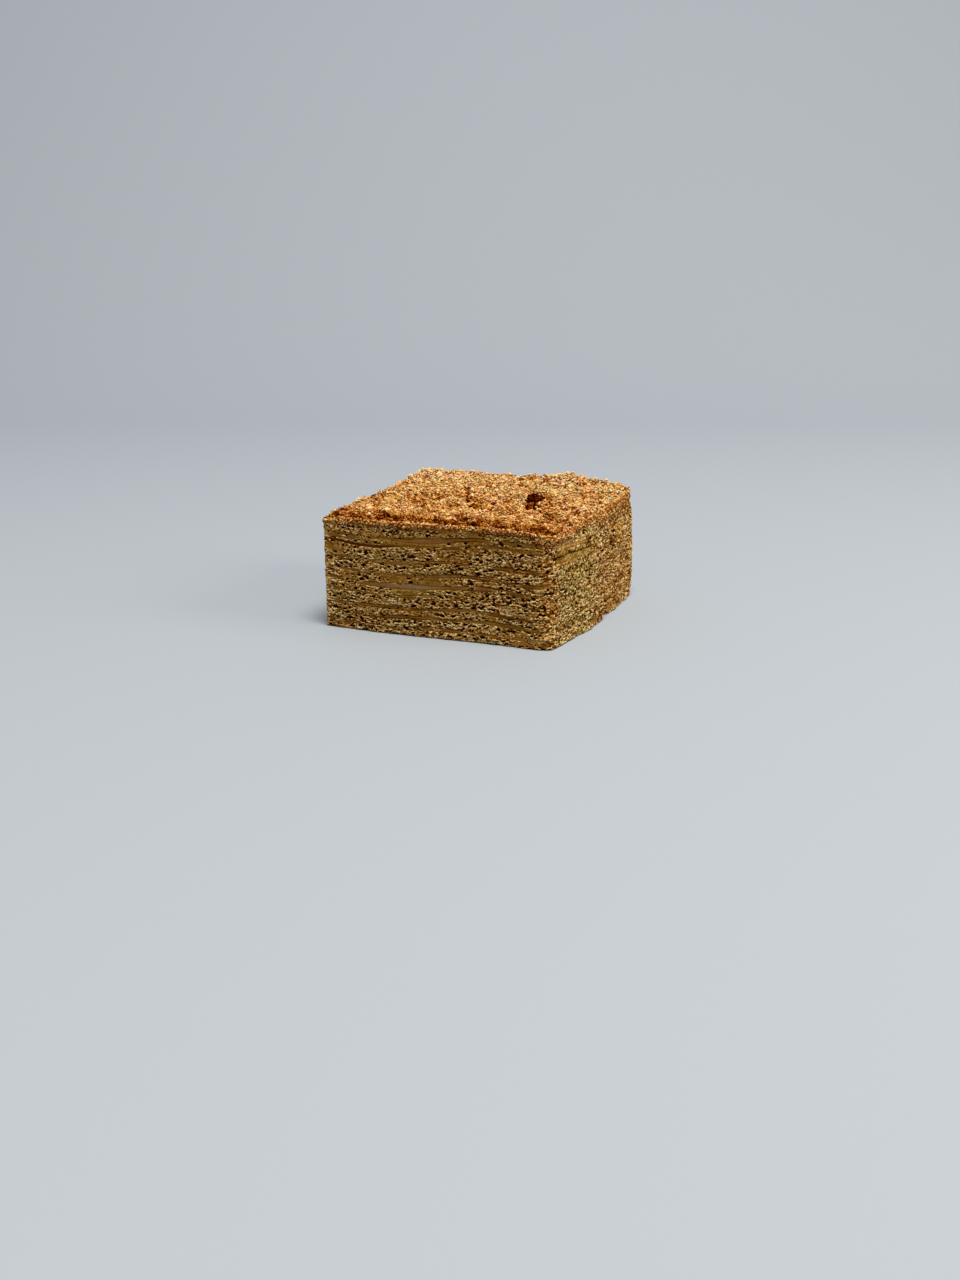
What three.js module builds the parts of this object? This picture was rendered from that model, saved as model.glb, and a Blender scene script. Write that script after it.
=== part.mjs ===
// Honey cake: a square-cut portion of a tall layered cake. Ten thin baked honey layers are stacked with cream
// between them, a last coat of cream lies on top, and a bed of toasted cake crumbs covers that. All four sides
// are knife cuts, so every layer shows as a thin band. Millimetres, +Z up, resting on its flat base, with the
// front side facing -Y and the origin under the middle of the whole portion.
import * as THREE from 'three';

// Driving dimensions of the portion.
const FRONT_LENGTH = 100.4;
const SIDE_DEPTH = 98.6;
const CORNER_RADII = [1.4, 8, 3, 3];

// The stack, from the base up: each baked layer and the cream spread on it. The last cream is the top coat.
const CAKE_THICKNESS = [3.0, 3.6, 3.0, 4.4, 3.5, 3.1, 4.2, 5.5, 1.8, 4.3];
const CREAM_THICKNESS = [1.0, 1.0, 0.9, 0.8, 1.3, 1.1, 1.0, 0.8, 1.3, 1.0];
const TOPPING_THICKNESS = 1.9;

// How the stack sags and swells. Waves are long and shallow, and all layers follow the same ones.
const STACK_WAVE = 0.9;
const STACK_WAVE_LENGTH = 85;
const LAYER_WAVE = 0.35;
const LAYER_WAVE_LENGTH = 38;
const CREAM_WAVE = 0.35;
const CREAM_WAVE_LENGTH = 46;
const THINNEST_CAKE = 0.6;
const THINNEST_CREAM = 0.4;

// Two layers of cream hold a thicker lens that shows on the front. The lower one also sags at its lens.
const LENSES = [
  { layer: 4, x: -8, thicker: 1.2, reach: 13, sag: 0.9 },
  { layer: 8, x: 4, thicker: 0.5, reach: 15, sag: 0 },
];

// The eighth and ninth layers rise towards the front right corner, where the tenth is pressed thin.
const CORNER_LIFT = { layers: [7, 8], rise: 1.8, start: 0, end: 36, reach: 26 };

// The back of the portion stands higher, most of all at a mound of crumbs near its right end.
const BACK_RISE = 3.0;
const BACK_RISE_IN_STACK = 0.55;
const MOUND = { x: 27, y: 43, rise: 3.0, reach: 9 };

// The cut sides: cream sits a little back from the cake edges. The right side runs outwards from the front to
// the back, swells below its top edge, and is chipped at its base. The other sides wave a little.
const CREAM_RECESS = 0.3;
const CAKE_BULGE = 0.15;
const CAKE_RAGGED = 0.4;
const RIGHT_SPREAD = 3.0;
const RIGHT_SWELL = 2.2;
const RIGHT_CORNER_WEAR = 1.2;
const CHIP = { y: 8.4, depth: 3.0, width: 2.4, height: 5 };
const FRONT_WAVE = 0.8;
const LEFT_WAVE = 0.6;
const BACK_WAVE = 0.5;

// The crumb topping: bumps of crumb size all over, and one in nine a larger lump that stands higher.
const BUMP = 0.65;
const LUMP_SHARE = 1 / 9;
const LUMP_RISE = 1.1;
const TOPPING_OVERHANG = 0.7;
const TOPPING_EDGE_DROP = 0.5;

// Steps along the front and the side, between the middles of the corner arcs. The topping has three for each.
const FRONT_STEPS = 17;
const SIDE_STEPS = 16;
const TOPPING_FINENESS = 3;
const HUB_RADIUS = 24;

const TAU = 2 * Math.PI;
const LAYERS = CAKE_THICKNESS.length;
const STACK_HEIGHT = sum(CAKE_THICKNESS) + sum(CREAM_THICKNESS);
const HALF_FRONT = FRONT_LENGTH / 2;
const HALF_SIDE = SIDE_DEPTH / 2;

function sum(values) {
  return values.reduce((total, value) => total + value, 0);
}

function bell(distance, reach) {
  return Math.exp(-((distance / reach) ** 2));
}

// A repeatable stream of numbers from -1 to 1.
function seededNoise(seed) {
  let state = seed >>> 0;
  return () => {
    state = (state + 0x6d2b79f5) >>> 0;
    let mixed = Math.imul(state ^ (state >>> 15), state | 1);
    mixed ^= mixed + Math.imul(mixed ^ (mixed >>> 7), mixed | 61);
    return ((mixed ^ (mixed >>> 14)) >>> 0) / 2147483648 - 1;
  };
}

// ---------------------------------------------------------------------------------------------------------
// The stack's heights
// ---------------------------------------------------------------------------------------------------------

function backRise(x, y) {
  const back = THREE.MathUtils.smoothstep(y, -10, HALF_SIDE);
  return BACK_RISE * back * (1 - 0.75 * Math.min(1, Math.abs(x / 52)) ** 5);
}

// Height of the middle of one layer of cream. Layer 0 is the lowest.
function creamMiddle(layer, x, y) {
  const below = sum(CAKE_THICKNESS.slice(0, layer + 1)) + sum(CREAM_THICKNESS.slice(0, layer));
  const nominal = below + CREAM_THICKNESS[layer] / 2;
  const isTopCoat = layer === LAYERS - 1;
  const freedom = isTopCoat ? 0.35 : Math.min(1, 0.35 + nominal / 20);
  const shared = STACK_WAVE * Math.sin(TAU * ((x + 5) / STACK_WAVE_LENGTH + (y + HALF_SIDE) / 130));
  const own = LAYER_WAVE * Math.sin(TAU * ((x + 0.6 * y) / LAYER_WAVE_LENGTH) + 2.1 * layer);
  const rise = (BACK_RISE_IN_STACK * backRise(x, y) * nominal) / STACK_HEIGHT;
  return nominal + freedom * (shared + own) + rise + cornerLift(layer, x, y) - atLens(layer, x, y, 'sag');
}

function cornerLift(layer, x, y) {
  if (!CORNER_LIFT.layers.includes(layer)) {
    return 0;
  }
  const across = THREE.MathUtils.smoothstep(x, CORNER_LIFT.start, CORNER_LIFT.end);
  return CORNER_LIFT.rise * across * bell(y + HALF_SIDE, CORNER_LIFT.reach);
}

// One measure of the lens in a layer of cream, where the layer has one, fading out round its middle.
function atLens(layer, x, y, measure) {
  const lens = LENSES.find((candidate) => candidate.layer === layer);
  return lens ? lens[measure] * bell(Math.hypot(x - lens.x, y + HALF_SIDE), lens.reach) : 0;
}

function creamThickness(layer, x, y) {
  const wave = CREAM_WAVE * Math.sin(TAU * ((x + 0.7 * y) / CREAM_WAVE_LENGTH) + 2.4 * layer);
  const thickness = CREAM_THICKNESS[layer] * (1 + wave) + atLens(layer, x, y, 'thicker');
  return Math.max(thickness, THINNEST_CREAM);
}

// Height of the surface between two layers. Level 0 is the base, 1 the top of the first cake layer, 2 the top
// of the first cream, and so on up to the top of the last coat of cream.
function levelHeight(level, x, y) {
  if (level === 0) {
    return 0;
  }
  const layer = Math.floor((level - 1) / 2);
  const half = creamThickness(layer, x, y) / 2;
  const middle = creamMiddle(layer, x, y);
  if (level % 2 === 0) {
    return middle + half;
  }
  const floor = levelHeight(level - 1, x, y) + THINNEST_CAKE;
  return Math.max(middle - half, floor);
}

function toppingHeight(x, y) {
  const coat = levelHeight(2 * LAYERS, x, y);
  const mound = MOUND.rise * bell(Math.hypot(x - MOUND.x, y - MOUND.y), MOUND.reach);
  return coat + TOPPING_THICKNESS + (1 - BACK_RISE_IN_STACK) * backRise(x, y) + mound;
}

// ---------------------------------------------------------------------------------------------------------
// The cut outline
// ---------------------------------------------------------------------------------------------------------

const CORNERS = [
  new THREE.Vector2(-HALF_FRONT, -HALF_SIDE),
  new THREE.Vector2(HALF_FRONT, -HALF_SIDE),
  new THREE.Vector2(HALF_FRONT, HALF_SIDE),
  new THREE.Vector2(-HALF_FRONT, HALF_SIDE),
];

// A point on one side of the rounded outline, where across runs from 0 to 1 between the middles of the two
// corner arcs. It also gives the direction that faces out of the cake there.
function outlinePoint(side, across) {
  const start = CORNERS[side];
  const along = CORNERS[(side + 1) % 4].clone().sub(start);
  const length = along.length();
  along.normalize();
  const outward = new THREE.Vector2(along.y, -along.x);
  const first = CORNER_RADII[side];
  const last = CORNER_RADII[(side + 1) % 4];
  const firstArc = (first * Math.PI) / 4;
  const lastArc = (last * Math.PI) / 4;
  const straight = length - first - last;
  const crowded = across - (0.35 * Math.sin(TAU * across)) / TAU;
  const distance = crowded * (firstArc + straight + lastArc);
  let turn = 0;
  let run = first + distance - firstArc;
  let inset = 0;
  if (distance < firstArc) {
    turn = -(Math.PI / 4 - distance / first);
    run = first * (1 + Math.sin(turn));
    inset = first * (1 - Math.cos(turn));
  } else if (distance > firstArc + straight) {
    turn = (distance - firstArc - straight) / last;
    run = length - last * (1 - Math.sin(turn));
    inset = last * (1 - Math.cos(turn));
  }
  const place = start.clone().addScaledVector(along, run).addScaledVector(outward, -inset);
  const facing = outward.multiplyScalar(Math.cos(turn)).addScaledVector(along, Math.sin(turn));
  return { x: place.x, y: place.y, outX: facing.x, outY: facing.y };
}

// How far the right side stands out of the plain outline. Its back corner is worn away at the base.
function rightSpread(y, height) {
  const share = THREE.MathUtils.clamp(height / STACK_HEIGHT, 0, 1);
  const backwards = THREE.MathUtils.smoothstep(y, -47, -5);
  const wear = RIGHT_CORNER_WEAR * bell(height, 4) * THREE.MathUtils.smoothstep(y, 34, 46);
  const chip = CHIP.depth * bell(y - CHIP.y, CHIP.width) * bell(height, CHIP.height);
  return (RIGHT_SPREAD + RIGHT_SWELL * (1 - share ** 4)) * backwards - wear - chip;
}

// How far the cut stands out of the plain outline at one place and height.
function spread(point, height) {
  const { x, y } = point;
  const low = 1 - THREE.MathUtils.clamp(height / STACK_HEIGHT, 0, 1);
  const front = FRONT_WAVE * (0.6 + 0.4 * low) * Math.sin((TAU * (x + HALF_FRONT)) / 105);
  const back = BACK_WAVE * Math.sin((TAU * x) / 70 + 2);
  const left = LEFT_WAVE * Math.sin((TAU * y) / 60 + 1);
  return (
    Math.max(point.outX, 0) * rightSpread(y, height) +
    Math.max(-point.outX, 0) * left +
    Math.max(-point.outY, 0) * front +
    Math.max(point.outY, 0) * back
  );
}

// The whole outline as points, anticlockwise from the front left corner. Fineness 3 triples the points.
function outline(fineness) {
  const points = [];
  for (let side = 0; side < 4; side += 1) {
    const steps = fineness * (side % 2 === 0 ? FRONT_STEPS : SIDE_STEPS);
    for (let step = 0; step < steps; step += 1) {
      points.push(outlinePoint(side, step / steps));
    }
  }
  return points;
}

const COARSE = outline(1);
const FINE = outline(TOPPING_FINENESS);

// Moves an outline point out of the cake by a distance and lifts it to a height.
function stepOut(point, distance, height) {
  const out = spread(point, height) + distance;
  return new THREE.Vector3(point.x + point.outX * out, point.y + point.outY * out, height);
}

// ---------------------------------------------------------------------------------------------------------
// Building closed solids
// ---------------------------------------------------------------------------------------------------------

class SolidBuilder {
  constructor() {
    this.places = [];
    this.triangles = [];
  }

  add(point) {
    this.places.push(point.x, point.y, point.z);
    return this.places.length / 3 - 1;
  }

  addRing(points) {
    return points.map((point) => this.add(point));
  }

  // A band between two rings of the same count, the first one below the second.
  band(lower, upper) {
    for (let i = 0; i < lower.length; i += 1) {
      const next = (i + 1) % lower.length;
      this.triangles.push(lower[i], lower[next], upper[next]);
      this.triangles.push(lower[i], upper[next], upper[i]);
    }
  }

  // A band from a ring up to one with three times its points.
  triplingBand(lower, upper) {
    for (let i = 0; i < lower.length; i += 1) {
      const next = (i + 1) % lower.length;
      const first = 3 * i;
      this.triangles.push(lower[i], upper[first + 1], upper[first]);
      this.triangles.push(lower[i], lower[next], upper[first + 1]);
      this.triangles.push(lower[next], upper[first + 2], upper[first + 1]);
      this.triangles.push(lower[next], upper[3 * next], upper[first + 2]);
    }
  }

  // Closes a ring with a sheet that fans out from three points round the middle.
  cap(ring, heightAt, facesUp) {
    const hubs = [0, 1, 2].map((index) => {
      const angle = (TAU * (index + 0.5)) / 3 + 1.25 * Math.PI;
      const x = HUB_RADIUS * Math.cos(angle);
      const y = HUB_RADIUS * Math.sin(angle);
      return this.add(new THREE.Vector3(x, y, heightAt(x, y)));
    });
    const hubOf = (index) => hubs[Math.floor((3 * index) / ring.length)];
    const push = (a, b, c) => (facesUp ? this.triangles.push(a, b, c) : this.triangles.push(a, c, b));
    for (let i = 0; i < ring.length; i += 1) {
      const next = (i + 1) % ring.length;
      push(ring[i], ring[next], hubOf(i));
      if (hubOf(next) !== hubOf(i)) {
        push(ring[next], hubOf(next), hubOf(i));
      }
    }
    push(hubs[0], hubs[1], hubs[2]);
  }

  geometry() {
    const geometry = new THREE.BufferGeometry();
    geometry.setAttribute('position', new THREE.Float32BufferAttribute(this.places, 3));
    geometry.setIndex(this.triangles);
    return geometry;
  }
}

// The ring where a surface between two layers meets the cut.
function levelRing(level) {
  return COARSE.map((point) => {
    const rough = stepOut(point, -CREAM_RECESS, levelHeight(level, point.x, point.y));
    return stepOut(point, -CREAM_RECESS, levelHeight(level, rough.x, rough.y));
  });
}

// One baked layer. Its cut edge bulges raggedly between the two recessed creams.
function cakeLayer(layer) {
  const solid = new SolidBuilder();
  const noise = seededNoise(71 + 13 * layer);
  const low = levelRing(2 * layer);
  const high = levelRing(2 * layer + 1);
  const edge = COARSE.map((point, index) => {
    const height = (low[index].z + high[index].z) / 2;
    return stepOut(point, CAKE_BULGE + CAKE_RAGGED * noise(), height + 0.1 * noise());
  });
  const lowRing = solid.addRing(low);
  const edgeRing = solid.addRing(edge);
  const highRing = solid.addRing(high);
  solid.band(lowRing, edgeRing);
  solid.band(edgeRing, highRing);
  solid.cap(lowRing, (x, y) => levelHeight(2 * layer, x, y), false);
  solid.cap(highRing, (x, y) => levelHeight(2 * layer + 1, x, y), true);
  return solid.geometry();
}

// One layer of cream, shut between the cake layer below and the one above.
function creamLayer(layer) {
  const solid = new SolidBuilder();
  const lowRing = solid.addRing(levelRing(2 * layer + 1));
  const highRing = solid.addRing(levelRing(2 * layer + 2));
  solid.band(lowRing, highRing);
  solid.cap(lowRing, (x, y) => levelHeight(2 * layer + 1, x, y), false);
  solid.cap(highRing, (x, y) => levelHeight(2 * layer + 2, x, y), true);
  return solid.geometry();
}

// ---------------------------------------------------------------------------------------------------------
// The crumb topping
// ---------------------------------------------------------------------------------------------------------

// The plan of the top face as a grid, drawn in from its four edges so that it follows the rounded outline.
function toppingPlan(rim, columns, rows) {
  const front = (i) => rim[i];
  const right = (j) => rim[columns + j];
  const back = (i) => rim[2 * columns + rows - i];
  const left = (j) => rim[(2 * columns + 2 * rows - j) % rim.length];
  const plan = [];
  for (let j = 0; j <= rows; j += 1) {
    const v = j / rows;
    for (let i = 0; i <= columns; i += 1) {
      const u = i / columns;
      const place = new THREE.Vector3();
      place.addScaledVector(front(i), 1 - v).addScaledVector(back(i), v);
      place.addScaledVector(left(j), 1 - u).addScaledVector(right(j), u);
      place.addScaledVector(front(0), -(1 - u) * (1 - v)).addScaledVector(front(columns), -u * (1 - v));
      place.addScaledVector(back(0), -(1 - u) * v).addScaledVector(back(columns), -u * v);
      plan.push(place);
    }
  }
  return plan;
}

// The bed of crumbs: a bumpy sheet that rounds over at its edges and hangs a little over the cut sides.
function toppingBed() {
  const solid = new SolidBuilder();
  const noise = seededNoise(409);
  const columns = TOPPING_FINENESS * FRONT_STEPS;
  const rows = TOPPING_FINENESS * SIDE_STEPS;
  const baseRing = solid.addRing(levelRing(2 * LAYERS));
  const side = FINE.map((point) => {
    const height = levelHeight(2 * LAYERS, point.x, point.y) + 0.45 * TOPPING_THICKNESS;
    return stepOut(point, TOPPING_OVERHANG + 0.4 * noise(), height + 0.25 * noise());
  });
  const rim = FINE.map((point) => {
    const height = toppingHeight(point.x, point.y) - TOPPING_EDGE_DROP;
    return stepOut(point, -CREAM_RECESS + 0.3 * noise(), height + 0.4 * noise());
  });
  const sideRing = solid.addRing(side);
  solid.triplingBand(baseRing, sideRing);

  const plan = toppingPlan(rim, columns, rows);
  const isInside = (i, j) => i > 0 && i < columns && j > 0 && j < rows;
  const grid = plan.map((place, index) => {
    const i = index % (columns + 1);
    const j = Math.floor(index / (columns + 1));
    if (isInside(i, j)) {
      const isLump = noise() > 1 - 2 * LUMP_SHARE;
      place.x += 0.5 * noise();
      place.y += 0.5 * noise();
      place.z = toppingHeight(place.x, place.y) + BUMP * noise() + (isLump ? LUMP_RISE : 0);
    }
    return solid.add(place);
  });
  const at = (i, j) => grid[j * (columns + 1) + i];
  for (let j = 0; j < rows; j += 1) {
    for (let i = 0; i < columns; i += 1) {
      if ((i + j) % 2 === 0) {
        solid.triangles.push(at(i, j), at(i + 1, j), at(i + 1, j + 1));
        solid.triangles.push(at(i, j), at(i + 1, j + 1), at(i, j + 1));
      } else {
        solid.triangles.push(at(i, j), at(i + 1, j), at(i, j + 1));
        solid.triangles.push(at(i + 1, j), at(i + 1, j + 1), at(i, j + 1));
      }
    }
  }
  const rimRing = [];
  for (let i = 0; i < columns; i += 1) rimRing.push(at(i, 0));
  for (let j = 0; j < rows; j += 1) rimRing.push(at(columns, j));
  for (let i = columns; i > 0; i -= 1) rimRing.push(at(i, rows));
  for (let j = rows; j > 0; j -= 1) rimRing.push(at(0, j));
  solid.band(sideRing, rimRing);
  solid.cap(baseRing, (x, y) => levelHeight(2 * LAYERS, x, y), false);
  return solid.geometry();
}

// ---------------------------------------------------------------------------------------------------------
// The cake
// ---------------------------------------------------------------------------------------------------------

function finish(color, roughness) {
  return new THREE.MeshStandardMaterial({ color, roughness, metalness: 0, flatShading: true });
}

function piece(name, geometry, material) {
  geometry.computeVertexNormals();
  const mesh = new THREE.Mesh(geometry, material);
  mesh.name = name;
  return mesh;
}

const honeyCake = new THREE.Group();
for (let layer = 0; layer < LAYERS; layer += 1) {
  const number = String(layer + 1).padStart(2, '0');
  honeyCake.add(piece(`cake_layer_${number}`, cakeLayer(layer), finish(0xa87a3f, 0.9)));
  const creamName = layer === LAYERS - 1 ? 'cream_top' : `cream_layer_${number}`;
  honeyCake.add(piece(creamName, creamLayer(layer), finish(0xb08d5c, 0.55)));
}
honeyCake.add(piece('crumb_topping', toppingBed(), finish(0xc88b4a, 0.85)));

// The origin goes under the middle of the whole portion, on the surface that it rests on.
const bounds = new THREE.Box3().setFromObject(honeyCake);
const middle = bounds.getCenter(new THREE.Vector3());
honeyCake.position.set(-middle.x, -middle.y, -bounds.min.z);

export default honeyCake;
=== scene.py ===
import math

import bmesh
import bpy
import numpy as np
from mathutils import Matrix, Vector


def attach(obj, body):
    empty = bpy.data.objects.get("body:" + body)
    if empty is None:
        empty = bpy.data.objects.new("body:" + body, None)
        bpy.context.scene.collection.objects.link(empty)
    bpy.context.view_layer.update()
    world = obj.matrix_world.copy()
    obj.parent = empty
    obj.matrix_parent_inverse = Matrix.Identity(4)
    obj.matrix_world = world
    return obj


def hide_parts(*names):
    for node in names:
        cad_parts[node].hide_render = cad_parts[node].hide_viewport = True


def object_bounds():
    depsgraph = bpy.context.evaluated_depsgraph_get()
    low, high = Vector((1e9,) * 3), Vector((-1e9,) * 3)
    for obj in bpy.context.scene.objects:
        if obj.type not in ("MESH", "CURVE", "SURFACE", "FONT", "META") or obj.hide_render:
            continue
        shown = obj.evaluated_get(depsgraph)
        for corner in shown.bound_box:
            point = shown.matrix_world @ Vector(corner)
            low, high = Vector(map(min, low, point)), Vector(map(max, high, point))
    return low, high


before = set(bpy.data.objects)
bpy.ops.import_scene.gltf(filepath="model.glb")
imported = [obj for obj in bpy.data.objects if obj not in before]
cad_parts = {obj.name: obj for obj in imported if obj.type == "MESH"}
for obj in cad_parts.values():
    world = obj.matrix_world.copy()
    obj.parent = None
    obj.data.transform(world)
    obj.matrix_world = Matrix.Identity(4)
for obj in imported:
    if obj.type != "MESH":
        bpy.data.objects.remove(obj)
cad_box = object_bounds()

# ======================================================================================================
# Camera
# It stands a little above the portion and right of its front, so the front side shows long and the right
# side short. Its place is measured in millimetres from the middle of the cake's plain cut rectangle, which
# lies a little left of the frame's origin, because the right side runs outwards.
# ======================================================================================================
MM = 0.001
PLAN_X = -2.144
PLAN_Y = -0.197
CAMERA_X, CAMERA_Y, CAMERA_HEIGHT = 208.1, -514.4, 157.1
CAMERA_LOOKS_DOWN = math.radians(17.2)
CAMERA_TURN = math.radians(22.06)
FRAME_LONG_SIDE = 1280
FOCAL_PIXELS = 1300
SENSOR_LONG_SIDE = 36

camera = bpy.data.objects.new("camera", bpy.data.cameras.new("camera"))
camera.data.sensor_width = SENSOR_LONG_SIDE
camera.data.lens = FOCAL_PIXELS / FRAME_LONG_SIDE * SENSOR_LONG_SIDE
camera.data.clip_start = 0.01
camera.location = ((CAMERA_X + PLAN_X) * MM, (CAMERA_Y + PLAN_Y) * MM, CAMERA_HEIGHT * MM)
camera.rotation_euler = (math.pi / 2 - CAMERA_LOOKS_DOWN, 0, CAMERA_TURN)
bpy.context.collection.objects.link(camera)
bpy.context.scene.camera = camera


# ======================================================================================================
# Studio
# A pale paper sweep runs under the cake and up behind it. A soft lamp hangs overhead and grazes the front
# side, a weaker one stands to the right, and the room itself gives a cool fill.
# ======================================================================================================
SWEEP_FRONT = -2.2
SWEEP_BEND = 0.6
SWEEP_RADIUS = 0.7
SWEEP_TOP = 2.6
SWEEP_HALF_WIDTH = 3.2


def srgb(code, alpha=1.0):
    """A colour written as an sRGB hex value, turned to the linear light that Blender works in."""
    parts = [int(code[i : i + 2], 16) / 255 for i in (1, 3, 5)]
    return [p / 12.92 if p <= 0.04045 else ((p + 0.055) / 1.055) ** 2.4 for p in parts] + [alpha]


def add_node(material, kind, inputs, **settings):
    """Adds one node to a material. An input is either a value or the output that feeds it."""
    made = material.node_tree.nodes.new(kind)
    for name, value in settings.items():
        setattr(made, name, value)
    for name, value in inputs.items():
        if isinstance(value, bpy.types.NodeSocket):
            material.node_tree.links.new(value, made.inputs[name])
        else:
            made.inputs[name].default_value = value
    return made


def add_ramp(material, factor, stops):
    """Adds a colour ramp whose stops are pairs of place and sRGB colour."""
    made = add_node(material, "ShaderNodeValToRGB", {"Fac": factor})
    first, last = made.color_ramp.elements
    first.position, first.color = stops[0][0], srgb(stops[0][1])
    last.position, last.color = stops[-1][0], srgb(stops[-1][1])
    for place, code in stops[1:-1]:
        made.color_ramp.elements.new(place).color = srgb(code)
    return made.outputs["Color"]


def new_material(name):
    """An empty node material, and its finish shader."""
    material = bpy.data.materials.new(name)
    material.use_nodes = True
    return material, material.node_tree.nodes["Principled BSDF"]


def mesh_object(name, places, faces, smooth, material):
    """A mesh from arrays: places in metres, and faces that all have the same number of corners."""
    mesh = bpy.data.meshes.new(name)
    corners = faces.shape[1]
    mesh.vertices.add(len(places))
    mesh.vertices.foreach_set("co", np.ascontiguousarray(places, np.float32).ravel())
    mesh.loops.add(faces.size)
    mesh.loops.foreach_set("vertex_index", np.ascontiguousarray(faces, np.int32).ravel())
    mesh.polygons.add(len(faces))
    mesh.polygons.foreach_set("loop_start", np.arange(0, faces.size, corners, dtype=np.int32))
    mesh.polygons.foreach_set("use_smooth", np.full(len(faces), smooth))
    mesh.update(calc_edges=True)
    mesh.validate()
    mesh.materials.append(material)
    made = bpy.data.objects.new(name, mesh)
    bpy.context.collection.objects.link(made)
    return made


# Uncoated studio paper: a matt sheet with a very faint cloudiness and no gloss to speak of.
uncoated_paper, shader = new_material("uncoated_paper")
clouds = add_node(uncoated_paper, "ShaderNodeTexNoise", {"Scale": 1.5, "Detail": 2.0})
tone = add_ramp(uncoated_paper, clouds.outputs["Fac"], ((0.3, "#a3abb5"), (0.7, "#aab2bc")))
uncoated_paper.node_tree.links.new(tone, shader.inputs["Base Color"])
shader.inputs["Roughness"].default_value = 0.9
shader.inputs["Specular IOR Level"].default_value = 0.2

bend = np.linspace(0, math.pi / 2, 24)
sweep_back = np.concatenate(
    [[SWEEP_FRONT], SWEEP_BEND + SWEEP_RADIUS * np.sin(bend), [SWEEP_BEND + SWEEP_RADIUS]]
)
sweep_height = np.concatenate([[0], SWEEP_RADIUS * (1 - np.cos(bend)), [SWEEP_TOP]])
across_view = np.array([math.cos(CAMERA_TURN), math.sin(CAMERA_TURN)])
along_view = np.array([-math.sin(CAMERA_TURN), math.cos(CAMERA_TURN)])
left_edge = sweep_back[:, None] * along_view - SWEEP_HALF_WIDTH * across_view
right_edge = sweep_back[:, None] * along_view + SWEEP_HALF_WIDTH * across_view
sweep_places = np.vstack(
    [np.column_stack([left_edge, sweep_height]), np.column_stack([right_edge, sweep_height])]
)
step = np.arange(len(sweep_back) - 1)
sweep_faces = np.stack([step, step + len(sweep_back), step + len(sweep_back) + 1, step + 1]).T
mesh_object("paper_sweep", sweep_places, sweep_faces, True, uncoated_paper)


def soft_lamp(name, place, size, power, code):
    """A square soft lamp that points at the middle of the cake."""
    lamp = bpy.data.lights.new(name, "AREA")
    lamp.shape = "SQUARE"
    lamp.size = size
    lamp.energy = power
    lamp.color = srgb(code)[:3]
    made = bpy.data.objects.new(name, lamp)
    made.location = place
    made.rotation_euler = (Vector((0, 0, 0.03)) - Vector(place)).to_track_quat("-Z", "Y").to_euler()
    bpy.context.collection.objects.link(made)


soft_lamp("overhead_softbox", (0.5, -0.5, 2.2), 0.9, 56, "#fffaf0")
soft_lamp("right_softbox", (1.4, 0.1, 0.75), 0.6, 8, "#fff3e2")

room = bpy.data.worlds.new("room")
room.use_nodes = True
room.node_tree.nodes["Background"].inputs["Color"].default_value = srgb("#ebebec")
room.node_tree.nodes["Background"].inputs["Strength"].default_value = 0.36
bpy.context.scene.world = room
bpy.context.scene.view_settings.view_transform = "Standard"


# ======================================================================================================
# Baked honey layers
# Ten thin rounds of honey dough, baked soft, stacked and cut through with one knife stroke a side. The cut
# opens the pores in the middle of each layer, while its cream-soaked top and bottom stay closed and smooth.
# ======================================================================================================
FRONT_LENGTH = 100.4
SIDE_DEPTH = 98.6
CORNER_RADII = (1.4, 8, 3, 3)
CAKE_THICKNESS = (3.0, 3.6, 3.0, 4.4, 3.5, 3.1, 4.2, 5.5, 1.8, 4.3)
CREAM_THICKNESS = (1.0, 1.0, 0.9, 0.8, 1.3, 1.1, 1.0, 0.8, 1.3, 1.0)
LAYERS = len(CAKE_THICKNESS)
STACK_HEIGHT = sum(CAKE_THICKNESS) + sum(CREAM_THICKNESS)
HALF_FRONT = FRONT_LENGTH / 2
HALF_SIDE = SIDE_DEPTH / 2
TAU = 2 * math.pi
THINNEST_CAKE = 0.6
THINNEST_CREAM = 0.4
# Long shallow waves: one that all layers share, one that each layer has, and one in the cream's thickness.
STACK_WAVE, STACK_WAVE_LENGTH = 0.9, 85
LAYER_WAVE, LAYER_WAVE_LENGTH = 0.35, 38
CREAM_WAVE, CREAM_WAVE_LENGTH = 0.35, 46
# Thick lenses of cream on the front, by cream from 0 at the base: the place along the front, the reach, the
# extra thickness and the sag.
LENSES = {4: (-8, 13, 1.2, 0.9), 8: (4, 15, 0.5, 0)}
# Two creams, from 0 at the base, rise towards the front right corner.
LIFTED_CREAMS = (7, 8)
CORNER_LIFT, CORNER_LIFT_END, CORNER_LIFT_REACH = 1.8, 36, 26
# The back stands higher. The right side runs outwards, swells and is chipped, and the others wave a little.
BACK_RISE = 3.0
BACK_RISE_IN_STACK = 0.55
RIGHT_SPREAD = 3.0
RIGHT_SWELL = 2.2
RIGHT_CORNER_WEAR = 1.2
CHIP_Y, CHIP_DEPTH, CHIP_WIDTH, CHIP_HEIGHT = 8.4, 3.0, 2.4, 5
FRONT_WAVE = 0.8
BACK_WAVE = 0.5
LEFT_WAVE = 0.6
CREAM_RECESS = 0.2
BASE_BEVEL, BASE_BEVEL_HEIGHT = 0.8, 0.9
# How far apart pores of two sizes and dragged grains lie, along the front, along the side and upwards.
LARGE_PORES = (2.2, 2.2, 1.3)
SMALL_PORES = (1.1, 1.1, 0.7)
GRAINS = (1.4, 1.9, 1.0)
# The grain of the crumb in the finish: its size, its contrast and its depth.
GRAIN_SIZE = 1.3
GRAIN_CONTRAST = 3.3
GRAIN_DEPTH = 0.3
# Points along the front, right, back and left cut, and the height between two rows of them.
CUT_STEPS = (400, 350, 190, 190)
ROW_STEP = 0.25


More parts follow.
